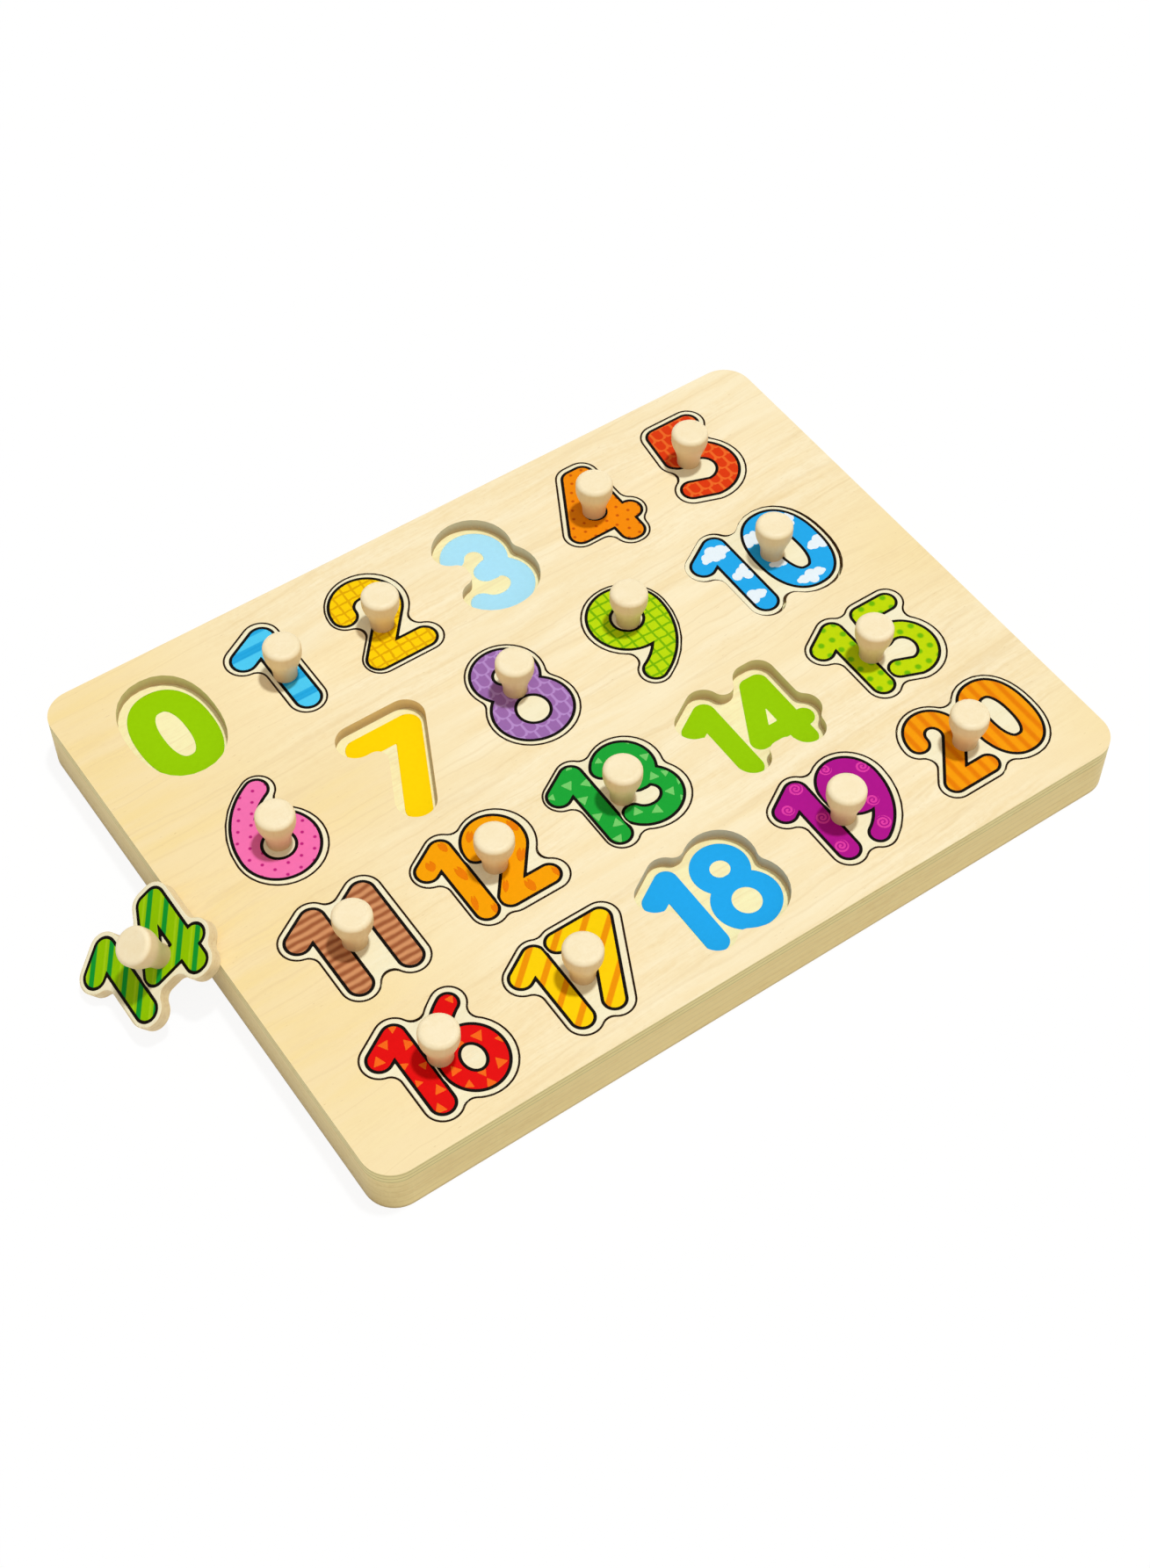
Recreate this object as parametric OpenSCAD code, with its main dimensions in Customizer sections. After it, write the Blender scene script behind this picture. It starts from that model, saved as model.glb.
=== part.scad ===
// A wooden peg puzzle with the numbers 0 to 20: a board with a recess for each number,
// seventeen number tiles with turned pegs, and the tile 14 leaning on the board's left edge.
// Lengths are in millimetres, X runs along the rows, Y is up the numbers, Z is up.

/* [Board] */
// length of the board along the rows
board_length = 300; // [280:1:360]
// width of the board up the numbers
board_width = 225; // [205:1:280]
// radius of the board's corners
corner_radius = 11; // [4:0.5:20]
// thickness of the backing board
base_thickness = 16.5; // [6:0.5:20]
// thickness of the top board, which is also the depth of the recesses
frame_thickness = 5; // [4:0.1:8]

/* [Tiles] */
// cream border round the printed numbers
tile_margin = 1.6; // [1.2:0.05:2.6]
// gap between a tile's side and its recess
recess_gap = 0.55; // [0.3:0.05:0.8]
// gap under a tile, which lets it sit level with the board
seat_gap = 0.2; // [0.1:0.05:0.4]
// radius that rounds the inner corners of the tiles
inner_round = 4; // [1:0.1:6]
// width trimmed off the side of tile 10, which is cut a little small
ten_trim = 0.8; // [0:0.1:0.8]

/* [Numbers] */
// height of the tallest number in the first row, 0 to 5
row_1_height = 42.5; // [32:0.1:46]
// height of the tallest number in the second row, 6 to 10
row_2_height = 44.4; // [32:0.1:46]
// height of the tallest number in the third row, 11 to 15
row_3_height = 39.1; // [32:0.1:42]
// height of the tallest number in the last row, 16 to 20
row_4_height = 37.9; // [32:0.1:42]

/* [Pegs] */
// height of a peg above its tile
peg_height = 16; // [12:0.5:28]
// radius of a peg at its foot
peg_foot_radius = 4.3; // [3.4:0.1:5.5]
// largest radius of a peg
peg_head_radius = 6.8; // [5.8:0.1:8]
// rounding of the rim at the top of a peg
peg_rim_round = 1.8; // [0.8:0.1:2.4]
// radius of the dowel that is glued into the tile
dowel_radius = 2.5; // [1.5:0.1:3]
// wood left in the tile below the dowel's hole
dowel_floor = 1.1; // [0.6:0.1:2]
// play round and below the dowel
dowel_play = 0.1; // [0.05:0.01:0.2]

/* [Loose tile] */
// share of the leaning tile's width that lies below the board's edge
lean_share = 0.87; // [0.8:0.01:0.95]
// distance of the leaning tile's middle from the board's middle line
lean_along = 3; // [-30:0.5:30]
// gap between the leaning tile and what it touches
lean_gap = 0.3; // [0.2:0.05:0.5]

/* [Hidden] */
$fn = 32;

tile_thickness = frame_thickness - seat_gap;
seat_level = base_thickness + seat_gap;
board_thickness = base_thickness + frame_thickness;
dowel_length = tile_thickness - dowel_floor - dowel_play;

// The digits are drawn with round strokes. Each digit is a list of strokes, each stroke a
// list of points as shares of the digit's height, from its left and bottom edges. A digit's
// width and the half width of its strokes are shares of its height too.
half_shares = [0.123, 0.123, 0.118, 0.115, 0.112, 0.112, 0.106, 0.119, 0.1, 0.106];
width_shares = [0.69, 0.485, 0.672, 0.66, 0.745, 0.69, 0.676, 0.71, 0.69, 0.676];
// in a number of two digits most digits are drawn a little narrower
pair_width_shares = [0.69, 0.463, 0.643, 0.66, 0.735, 0.64, 0.619, 0.71, 0.685, 0.619];
// gap between the two digits of a number, wider in the numbers 10 and 11
pair_gap_share = 0.01;
ten_gap_share = 0.072;
eleven_gap_share = 0.025;
// An arc is [centre, radii, from angle, to angle, roundness]: roundness 2 is an oval, and
// more is fuller at the corners.
half_circle = 180;
full_circle = 360;
oval = 2;
function signed_power(v, p) = sign(v) * pow(abs(v), p);
function arc_spot(arc, a) =
    arc[0] + [
        arc[1].x * signed_power(cos(a), 2 / arc[4]),
        arc[1].y * signed_power(sin(a), 2 / arc[4])
    ];
function arc_outward(arc, a) =
    let (
        n = [
            signed_power(cos(a), 2 - 2 / arc[4]) / arc[1].x,
            signed_power(sin(a), 2 - 2 / arc[4]) / arc[1].y
        ]
    )
    n / norm(n);

// 0 is one ring, a little fuller than an oval
zero_half = half_shares[0];
zero_ring = [[0.345, 0.5], [0.345 - zero_half, 0.5 - zero_half], 0, full_circle, 2.35];
zero_lines = [];
zero_arcs = [zero_ring];

// 1 is a slanting flag and an upright stem
one_half = half_shares[1];
one_flag_end_shares = [0.123, 0.748];
one_stem_share = width_shares[1] - one_half;
one_lines = [[
    one_flag_end_shares,
    [one_stem_share, 1 - one_half],
    [one_stem_share, one_half]
]];
one_arcs = [];

// 2 is a bowl that runs out into a slope, and a foot
two_half = half_shares[2];
two_bowl = [[0.322, 0.678], [0.204, 0.204], 180, -40, oval];
two_lines = [[
    arc_spot(two_bowl, two_bowl[3]),
    [two_half, two_half],
    [width_shares[2] - two_half, two_half]
]];
two_arcs = [two_bowl];

// 3 is two bowls that meet at a short middle bar
three_upper_bowl = [[0.305, 0.69], [0.193, 0.195], 150, -75, oval];
three_lower_bowl = [[0.305, 0.325], [0.24, 0.21], 75, -150, oval];
three_bar_end_shares = [0.31, 0.505];
three_lines = [[
    arc_spot(three_upper_bowl, three_upper_bowl[3]),
    three_bar_end_shares,
    arc_spot(three_lower_bowl, three_lower_bowl[2])
]];
three_arcs = [three_upper_bowl, three_lower_bowl];

// 4 is a slope, a bar across and a stem that is a little wider than the rest
four_half = half_shares[4];
four_bar_share = 0.318;
four_bar_end_share = width_shares[4] - four_half;
four_top_share = 0.425;
four_stem_shares = [0.498, 0.52];
four_lines = [
    [
        [four_bar_end_share, four_bar_share],
        [four_half, four_bar_share],
        [four_top_share, 1 - four_half],
        [four_stem_shares[1], 1 - four_half],
        [four_stem_shares[1], four_half]
    ],
    [
        [four_stem_shares[0], 1 - four_half],
        [four_stem_shares[0], four_half]
    ]
];
four_arcs = [];

// 5 is a top bar with an upright at its left, and a bowl with a tail
five_half = half_shares[5];
five_bar_shares = [0.235, 0.565];
five_upright_end_shares = [0.195, 0.57];
five_bowl = [[0.33, 0.345], [0.248, 0.236], 118, -95, oval];
five_tail_end_shares = [0.112, 0.18];
five_lines = [
    [
        [five_bar_shares[1], 1 - five_half],
        [five_bar_shares[0], 1 - five_half],
        five_upright_end_shares
    ],
    [arc_spot(five_bowl, five_bowl[3]), five_tail_end_shares]
];
five_arcs = [five_bowl];

// 6 is a ring and an arm that leaves its left side
six_ring = [[0.338, 0.338], [0.232, 0.232], 0, full_circle, oval];
six_arm = [[0.737, 0.338], [0.631, 0.625], 180, 116.5, oval];
six_lines = [];
six_arcs = [six_ring, six_arm];

// 7 is a top bar and a slope
seven_half = half_shares[7];
seven_corner_shares = [0.582, 0.881];
seven_foot_share = 0.207;
seven_lines = [[
    [seven_half, seven_corner_shares.y],
    seven_corner_shares,
    [seven_foot_share, seven_half]
]];
seven_arcs = [];

// 8 is a large ring under a small one
eight_lower_ring = [[0.345, 0.322], [0.241, 0.218], 0, full_circle, oval];
eight_upper_ring = [[0.345, 0.718], [0.19, 0.182], 0, full_circle, oval];
eight_lines = [];
eight_arcs = [eight_lower_ring, eight_upper_ring];

// 9 is a 6 turned half round
nine_lines = [];
nine_arcs = [
    for (arc = six_arcs)
        [
            [width_shares[9] - arc[0].x, 1 - arc[0].y],
            arc[1],
            arc[2] - half_circle,
            arc[3] - half_circle,
            arc[4]
        ]
];

digit_lines = [
    zero_lines, one_lines, two_lines, three_lines, four_lines,
    five_lines, six_lines, seven_lines, eight_lines, nine_lines
];
digit_arcs = [
    zero_arcs, one_arcs, two_arcs, three_arcs, four_arcs,
    five_arcs, six_arcs, seven_arcs, eight_arcs, nine_arcs
];

// Each number's middle, as shares of the board's length and width from the board's middle,
// and its height as a share of its row's height.
place_shares = [
    // 0 to 5
    [-0.384, 0.351, 0.995],
    [-0.251, 0.351, 0.998],
    [-0.105, 0.352, 1],
    [0.05, 0.354, 0.976],
    [0.207, 0.352, 0.993],
    [0.358, 0.353, 0.969],
    // 6 to 10
    [-0.368, 0.095, 0.968],
    [-0.189, 0.091, 0.964],
    [-0.029, 0.099, 1],
    [0.139, 0.098, 0.998],
    [0.326, 0.103, 0.917],
    // 11 to 15
    [-0.372, -0.144, 1],
    [-0.199, -0.143, 0.954],
    [-0.02, -0.141, 0.972],
    [0.169, -0.142, 0.944],
    [0.353, -0.141, 0.962],
    // 16 to 20
    [-0.369, -0.374, 1],
    [-0.188, -0.373, 0.963],
    [-0.009, -0.366, 0.987],
    [0.173, -0.356, 0.992],
    [0.369, -0.356, 0.937]
];
all_numbers = [0:20];
second_row = 6;
third_row = 11;
last_row = 16;
function row_height(n) =
    n < second_row ? row_1_height
    : n < third_row ? row_2_height
    : n < last_row ? row_3_height
    : row_4_height;

ten = 10;
eleven = 11;
function tens(n) = floor(n / ten);
function ones(n) = n % ten;
function gap_share(n) =
    n == ten ? ten_gap_share : n == eleven ? eleven_gap_share : pair_gap_share;
function width_share(n) =
    n < ten
        ? width_shares[n]
        : pair_width_shares[tens(n)] + gap_share(n) + pair_width_shares[ones(n)];

function number_height(n) = row_height(n) * place_shares[n].z;
function number_width(n) = number_height(n) * width_share(n);
function number_left(n) = board_length * place_shares[n].x - number_width(n) / 2;
function number_bottom(n) = board_width * place_shares[n].y - number_height(n) / 2;

// a straight bar with round ends
module bar(a, b, half) {
    along = b - a;
    translate(a)
        rotate(atan2(along.y, along.x)) {
            circle(half);
            translate([norm(along), 0])
                circle(half);
            translate([0, -half])
                square([norm(along), 2 * half]);
        }
}

// a curved bar with round ends, or a closed ring
module curved_bar(arc, half) {
    turn = arc[3] - arc[2];
    steps = ceil(abs(turn) / full_circle * $fn);
    angles = [for (i = [0:steps]) arc[2] + turn * i / steps];
    outer = [for (a = angles) arc_spot(arc, a) + half * arc_outward(arc, a)];
    inner = [for (a = angles) arc_spot(arc, a) - half * arc_outward(arc, a)];
    if (abs(turn) == full_circle) {
        difference() {
            polygon(outer);
            polygon(inner);
        }
    } else {
        polygon(concat(outer, [for (i = [0:steps]) inner[steps - i]]));
        for (a = [arc[2], arc[3]])
            let (n = arc_outward(arc, a))
                translate(arc_spot(arc, a))
                    rotate(atan2(n.y, n.x))
                        circle(half);
    }
}

// one digit, drawn from its left and bottom edges to a height and a width share
module digit(d, height, width_share) {
    half = half_shares[d];
    squeeze = (width_share - 2 * half) / (width_shares[d] - 2 * half);
    function spot(p) = height * [half + (p.x - half) * squeeze, p.y];
    for (line = digit_lines[d])
        for (i = [0:len(line) - 2])
            bar(spot(line[i]), spot(line[i + 1]), half * height);
    for (arc = digit_arcs[d])
        curved_bar(
            [
                spot(arc[0]),
                height * [arc[1].x * squeeze, arc[1].y],
                arc[2], arc[3], arc[4]
            ],
            half * height
        );
}

// a whole number at its place on the board
module number(n) {
    height = number_height(n);
    translate([number_left(n), number_bottom(n)]) {
        if (n < ten) {
            digit(n, height, width_shares[n]);
        } else {
            first_share = pair_width_shares[tens(n)];
            digit(tens(n), height, first_share);
            translate([(first_share + gap_share(n)) * height, 0])
                digit(ones(n), height, pair_width_shares[ones(n)]);
        }
    }
}

// The saw cut round each print sits a little off it. How far along X and Y, and how wide a
// border it leaves, as shares of the tile margin.
cut_shares = [
    // 0 to 5
    [0, 0, 1],
    [-0.06, 0.16, 0.97],
    [0.37, 0.01, 0.82],
    [0, 0, 1],
    [-0.09, 0.14, 0.87],
    [-0.01, -0.11, 1.09],
    // 6 to 10
    [0.16, -0.31, 0.83],
    [0, 0, 1],
    [0.06, -0.11, 0.83],
    [-0.18, -0.08, 0.68],
    [0, 0, 1],
    // 11 to 15
    [0.08, -0.01, 1.08],
    [0.44, -0.18, 1.09],
    [0.43, -0.1, 0.88],
    [0, 0, 1],
    [0.17, -0.08, 1.04],
    // 16 to 20
    [0.12, -0.01, 1.18],
    [0.25, -0.23, 1.17],
    [0, 0, 1],
    [0.09, -0.14, 1.07],
    [-0.14, -0.16, 0.95]
];
function cut_shift(n) = tile_margin * [cut_shares[n].x, cut_shares[n].y];
function cut_border(n) = tile_margin * cut_shares[n].z;
// tile 10 lies against the upper left side of its recess
ten_play_shares = [1, -0.35];
function ten_play(n) = n == ten ? ten_trim * ten_play_shares : [0, 0];

// outline of the piece round a number: a border, with the inner corners rounded
module number_outline(n, border) {
    translate(cut_shift(n))
        offset(r = -inner_round)
            offset(r = border + inner_round)
                number(n);
}

module tile_outline(n) {
    number_outline(n, n == ten ? cut_border(n) - ten_trim : cut_border(n));
}

module recess_outline(n) {
    translate(ten_play(n))
        number_outline(n, cut_border(n) + recess_gap);
}

// the board's outline with round corners
module board_outline() {
    straight_x = board_length - 2 * corner_radius;
    straight_y = board_width - 2 * corner_radius;
    square([board_length, straight_y], center = true);
    square([straight_x, board_width], center = true);
    for (x = [-straight_x / 2, straight_x / 2])
        for (y = [-straight_y / 2, straight_y / 2])
            translate([x, y])
                circle(corner_radius, $fn = corner_facets);
}
corner_facets = 96;

// backing board, cut from one thick panel
module backing() {
    linear_extrude(base_thickness)
        board_outline();
}

// top board, cut right through at every number and glued on the backing board
module cut_panel() {
    translate([0, 0, base_thickness])
        linear_extrude(frame_thickness)
            difference() {
                board_outline();
                for (n = all_numbers)
                    recess_outline(n);
            }
}

// places a piece that belongs to number n: level with the board in its recess, and the
// number 14 tilted, with its left edge on the table and its underside on the board's edge
loose_number = 14;
loose_left = number_left(loose_number) - tile_margin;
loose_width = number_width(loose_number) + 2 * tile_margin;
loose_middle = board_width * place_shares[loose_number].y;
lean_angle = asin(board_thickness / (lean_share * loose_width));
lean_step = board_thickness + lean_gap / cos(lean_angle) - lean_gap;
lean_left = -board_length / 2 - lean_step / tan(lean_angle);
module seat(n) {
    if (n == loose_number)
        translate([lean_left, lean_along, lean_gap])
            rotate([0, -lean_angle, 0])
                translate([-loose_left, -loose_middle, 0])
                    children();
    else
        translate([0, 0, seat_level])
            children();
}

// Each peg's middle, as shares of the number's height from the number's left and bottom
// edges. The numbers 0, 3, 7 and 18 have no tile.
no_peg = [0, 0];
peg_place_shares = [
    no_peg, [0.335, 0.436], [0.339, 0.435], no_peg, [0.36, 0.478], [0.291, 0.49],
    [0.353, 0.367], no_peg, [0.336, 0.557], [0.33, 0.634], [0.737, 0.531],
    [0.527, 0.501], [0.665, 0.48], [0.592, 0.442], [0.724, 0.415], [0.471, 0.46],
    [0.562, 0.501], [0.595, 0.482], no_peg, [0.527, 0.431], [0.507, 0.454]
];
function peg_spot(n) = [
    number_left(n) + number_height(n) * peg_place_shares[n].x,
    number_bottom(n) + number_height(n) * peg_place_shares[n].y,
    tile_thickness
];

// flat tile in the outline of its number, with a blind hole for the dowel
module tile(n) {
    seat(n)
        difference() {
            linear_extrude(tile_thickness)
                tile_outline(n);
            translate(peg_spot(n) - [0, 0, dowel_length + dowel_play])
                cylinder(
                    h = tile_thickness,
                    r = dowel_radius + dowel_play,
                    $fn = round_facets
                );
        }
}
round_facets = 48;

// turned peg: a slim foot that swells into a broad head with a rounded rim
peg_swell_share = 0.86;
peg_swell_power = 1.35;
peg_swell_steps = 12;
peg_rim_steps = 7;
quarter_turn = 90;
function swell(t) = (1 - cos(half_circle * pow(t, peg_swell_power))) / 2;
swell_height = peg_height * peg_swell_share - peg_rim_round;
rim_centre = [peg_head_radius - peg_rim_round, peg_height - peg_rim_round];
peg_side = [
    for (i = [0:peg_swell_steps])
        let (t = i / peg_swell_steps)
            [
                peg_foot_radius + (peg_head_radius - peg_foot_radius) * swell(t),
                swell_height * t
            ]
];
peg_rim = [
    for (i = [0:peg_rim_steps])
        let (a = quarter_turn * i / peg_rim_steps)
            rim_centre + peg_rim_round * [cos(a), sin(a)]
];

module peg(n) {
    seat(n)
        translate(peg_spot(n)) {
            rotate_extrude($fn = round_facets)
                polygon(concat([[0, 0]], peg_side, peg_rim, [[0, peg_height]]));
            translate([0, 0, -dowel_length])
                cylinder(h = dowel_length + peg_rim_round, r = dowel_radius, $fn = round_facets);
        }
}

backing_colour = [0.82, 0.73, 0.52];
panel_colour = [0.97, 0.9, 0.72];
peg_colour = [0.96, 0.88, 0.7];

module base_board() {
    color(backing_colour)
        backing();
}

module frame_board() {
    color(panel_colour)
        cut_panel();
}

// tile of the number 1, printed in sky blue
module tile_1() {
    color([0.18, 0.7, 0.97])
        tile(1);
}

// tile of the number 2, printed in yellow
module tile_2() {
    color([1, 0.8, 0])
        tile(2);
}

// tile of the number 4, printed in orange
module tile_4() {
    color([1, 0.55, 0.05])
        tile(4);
}

// tile of the number 5, printed in red orange
module tile_5() {
    color([0.94, 0.25, 0.1])
        tile(5);
}

// tile of the number 6, printed in pink
module tile_6() {
    color([0.98, 0.42, 0.72])
        tile(6);
}

// tile of the number 8, printed in violet
module tile_8() {
    color([0.64, 0.4, 0.74])
        tile(8);
}

// tile of the number 9, printed in lime
module tile_9() {
    color([0.72, 0.86, 0])
        tile(9);
}

// tile of the number 10, printed in blue
module tile_10() {
    color([0.14, 0.65, 0.94])
        tile(10);
}

// tile of the number 11, printed in brown
module tile_11() {
    color([0.78, 0.47, 0.33])
        tile(11);
}

// tile of the number 12, printed in orange
module tile_12() {
    color([1, 0.63, 0])
        tile(12);
}

// tile of the number 13, printed in green
module tile_13() {
    color([0.1, 0.65, 0.2])
        tile(13);
}

// tile of the number 14, printed in grass green
module tile_14() {
    color([0.53, 0.74, 0])
        tile(14);
}

// tile of the number 15, printed in lime
module tile_15() {
    color([0.75, 0.86, 0.02])
        tile(15);
}

// tile of the number 16, printed in red
module tile_16() {
    color([0.93, 0.06, 0.06])
        tile(16);
}

// tile of the number 17, printed in yellow
module tile_17() {
    color([1, 0.82, 0])
        tile(17);
}

// tile of the number 19, printed in purple
module tile_19() {
    color([0.72, 0.06, 0.58])
        tile(19);
}

// tile of the number 20, printed in orange
module tile_20() {
    color([0.98, 0.58, 0.05])
        tile(20);
}

module peg_1() {
    color(peg_colour)
        peg(1);
}

module peg_2() {
    color(peg_colour)
        peg(2);
}

module peg_4() {
    color(peg_colour)
        peg(4);
}

module peg_5() {
    color(peg_colour)
        peg(5);
}

module peg_6() {
    color(peg_colour)
        peg(6);
}

module peg_8() {
    color(peg_colour)
        peg(8);
}

module peg_9() {
    color(peg_colour)
        peg(9);
}

module peg_10() {
    color(peg_colour)
        peg(10);
}

module peg_11() {
    color(peg_colour)
        peg(11);
}

module peg_12() {
    color(peg_colour)
        peg(12);
}

module peg_13() {
    color(peg_colour)
        peg(13);
}

module peg_14() {
    color(peg_colour)
        peg(14);
}

module peg_15() {
    color(peg_colour)
        peg(15);
}

module peg_16() {
    color(peg_colour)
        peg(16);
}

module peg_17() {
    color(peg_colour)
        peg(17);
}

module peg_19() {
    color(peg_colour)
        peg(19);
}

module peg_20() {
    color(peg_colour)
        peg(20);
}

base_board();
frame_board();
tile_1();
tile_2();
tile_4();
tile_5();
tile_6();
tile_8();
tile_9();
tile_10();
tile_11();
tile_12();
tile_13();
tile_14();
tile_15();
tile_16();
tile_17();
tile_19();
tile_20();
peg_1();
peg_2();
peg_4();
peg_5();
peg_6();
peg_8();
peg_9();
peg_10();
peg_11();
peg_12();
peg_13();
peg_14();
peg_15();
peg_16();
peg_17();
peg_19();
peg_20();
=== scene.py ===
"""Looks of the wooden number peg puzzle.

The board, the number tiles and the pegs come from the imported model. This script adds the
printed layers of the numbers as thin closed slabs, and gives every piece its finish.
Lengths are in metres. The finishes work in millimetres on the board, in which a tile that
leans is laid flat first.
"""

import math

import bpy
import numpy as np
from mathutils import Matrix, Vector


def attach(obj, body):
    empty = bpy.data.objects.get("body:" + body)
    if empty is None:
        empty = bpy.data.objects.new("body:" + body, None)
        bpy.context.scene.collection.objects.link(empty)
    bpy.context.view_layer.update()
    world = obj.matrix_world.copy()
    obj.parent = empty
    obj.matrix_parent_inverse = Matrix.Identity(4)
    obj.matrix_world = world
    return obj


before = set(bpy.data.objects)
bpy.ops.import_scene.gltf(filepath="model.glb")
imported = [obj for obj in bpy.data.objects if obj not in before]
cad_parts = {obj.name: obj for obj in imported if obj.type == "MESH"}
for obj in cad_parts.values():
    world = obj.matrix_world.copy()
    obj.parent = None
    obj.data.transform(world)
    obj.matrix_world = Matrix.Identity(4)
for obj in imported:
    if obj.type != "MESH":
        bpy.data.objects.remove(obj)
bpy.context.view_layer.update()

MM = 0.001

# Sizes that the numbers share with the part's source
BOARD_LENGTH, BOARD_WIDTH, BOARD_THICKNESS = 0.3, 0.225, 0.0215
BASE_THICKNESS = 0.0165
SEAT_LEVEL = 0.0167
TILE_THICKNESS = 0.0048
TILE_MARGIN = 0.0016
INNER_ROUND = 0.004
ROW_HEIGHTS = (0.0425, 0.0444, 0.0391, 0.0379)
FIRST_OF_LATER_ROWS = (6, 11, 16)
HALF_SHARES = (0.123, 0.123, 0.118, 0.115, 0.112, 0.112, 0.106, 0.119, 0.1, 0.106)
WIDTH_SHARES = (0.69, 0.485, 0.672, 0.66, 0.745, 0.69, 0.676, 0.71, 0.69, 0.676)
PAIR_WIDTH_SHARES = (0.69, 0.463, 0.643, 0.66, 0.735, 0.64, 0.619, 0.71, 0.685, 0.619)
GAP_SHARE = 0.01
WIDER_GAP_SHARES = {10: 0.072, 11: 0.025}

# Middle of each number as shares of the board, and its height as a share of its row's
PLACE_SHARES = (
    (-0.384, 0.351, 0.995), (-0.251, 0.351, 0.998), (-0.105, 0.352, 1),
    (0.05, 0.354, 0.976), (0.207, 0.352, 0.993), (0.358, 0.353, 0.969),
    (-0.368, 0.095, 0.968), (-0.189, 0.091, 0.964), (-0.029, 0.099, 1),
    (0.139, 0.098, 0.998), (0.326, 0.103, 0.917),
    (-0.372, -0.144, 1), (-0.199, -0.143, 0.954), (-0.02, -0.141, 0.972),
    (0.169, -0.142, 0.944), (0.353, -0.141, 0.962),
    (-0.369, -0.374, 1), (-0.188, -0.373, 0.963), (-0.009, -0.366, 0.987),
    (0.173, -0.356, 0.992), (0.369, -0.356, 0.937),
)
# Shift along X and Y of each tile's cut, and its border, as shares of the tile margin
CUT_SHARES = {
    1: (-0.06, 0.16, 0.97), 2: (0.37, 0.01, 0.82), 4: (-0.09, 0.14, 0.87),
    5: (-0.01, -0.11, 1.09), 6: (0.16, -0.31, 0.83), 8: (0.06, -0.11, 0.83),
    9: (-0.18, -0.08, 0.68), 10: (0.17, -0.05, 1.05), 11: (0.08, -0.01, 1.08),
    12: (0.44, -0.18, 1.09), 13: (0.43, -0.1, 0.88), 15: (0.17, -0.08, 1.04),
    16: (0.12, -0.01, 1.18), 17: (0.25, -0.23, 1.17), 19: (0.09, -0.14, 1.07),
    20: (-0.14, -0.16, 0.95),
}
ALL_NUMBERS = range(21)
EMPTY_RECESSES = (0, 3, 7, 18)

# How far the prints on the recess floors, and the print of 10, lie from their own places
FLOOR_PRINT_SHIFTS = {
    0: (0.0006, -0.0004), 3: (0.0005, -0.0001), 7: (0.0006, -0.0005), 14: (0.0001, -0.0002),
    18: (0.0003, 0.0001),
}
PRINT_SHIFTS = {10: (0.0006, 0)}

# The tile that leans on the board's left edge
LOOSE_NUMBER = 14
LEAN_SHARE = 0.87
LEAN_ALONG = 0.003
LEAN_GAP = 0.0003

# Printed layers: how deep each starts inside the number, and how far it rises
OUTLINE_START = -0.00016
COLOUR_START = 0.00096
FLOOR_PRINT_START = 0.0003
# The cream face stops short of the tile's edge, leaving a thin rim that shows painted shade
FACE_START = 0.0002
DIGIT_GAP = 0.00045
FACE_RISE = 0.00002
OUTLINE_RISE = 0.00005
COLOUR_RISE = 0.00008
MOTIF_RISE = 0.00011
PRINT_SINK = 0.0003
PRINT_STEP = 0.0005
PAIR_STEP = 0.00036
MOTIF_STEP = 0.00028
PRINT_MARGIN = 0.001
FACE_MARGIN = TILE_MARGIN * 1.5 + INNER_ROUND

# Shares of a grid step that a cut keeps to, so that no triangle comes out too thin
CUT_LIMITS = (0.02, 0.98)


# Shapes of the numbers

def arc(centre, radii, start, end, roundness=2.0, steps=72):
    """Points of an oval arc: each coordinate is the radius times the cosine or sine of the
    angle, raised to 2 over the roundness with its sign kept."""
    angle = np.radians(np.linspace(start, end, steps))
    wave = np.c_[np.cos(angle), np.sin(angle)]
    return np.array(centre) + np.array(radii) * np.sign(wave) * np.abs(wave) ** (2 / roundness)


def digit_lines():
    """The strokes of the ten digits as lines of points, in shares of the digit's height."""
    two_bowl = arc((0.322, 0.678), (0.204, 0.204), 180, -40)
    three_upper = arc((0.305, 0.69), (0.193, 0.195), 150, -75)
    three_lower = arc((0.305, 0.325), (0.24, 0.21), 75, -150)
    five_bowl = arc((0.33, 0.345), (0.248, 0.236), 118, -95)
    six = [
        arc((0.338, 0.338), (0.232, 0.232), 0, 360),
        arc((0.737, 0.338), (0.631, 0.625), 180, 116.5),
    ]
    stem = WIDTH_SHARES[1] - HALF_SHARES[1]
    half = HALF_SHARES
    return [
        [arc((0.345, 0.5), (0.222, 0.377), 0, 360, 2.35, 120)],
        [[(0.123, 0.748), (stem, 1 - half[1]), (stem, half[1])]],
        [two_bowl, [two_bowl[-1], (half[2], half[2]), (WIDTH_SHARES[2] - half[2], half[2])]],
        [three_upper, [three_upper[-1], (0.31, 0.505), three_lower[0]], three_lower],
        [
            [
                (WIDTH_SHARES[4] - half[4], 0.318), (half[4], 0.318), (0.425, 1 - half[4]),
                (0.52, 1 - half[4]), (0.52, half[4]),
            ],
            [(0.498, 1 - half[4]), (0.498, half[4])],
        ],
        [
            [(0.565, 1 - half[5]), (0.235, 1 - half[5]), (0.195, 0.57)],
            five_bowl, [five_bowl[-1], (0.112, 0.18)],
        ],
        six,
        [[(half[7], 0.881), (0.582, 0.881), (0.207, half[7])]],
        [
            arc((0.345, 0.322), (0.241, 0.218), 0, 360),
            arc((0.345, 0.718), (0.19, 0.182), 0, 360),
        ],
        [(WIDTH_SHARES[9], 1) - line for line in six],
    ]


DIGIT_LINES = digit_lines()

# The eight's lower hole, rounder than its strokes would leave it: middle, radii, and the
# disc that fills the strokes' own hole, in shares of the height
EIGHT_HOLE = (0.345, 0.3155)
EIGHT_HOLE_RADII = (0.128, 0.132)
EIGHT_FILL = 0.19

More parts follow.
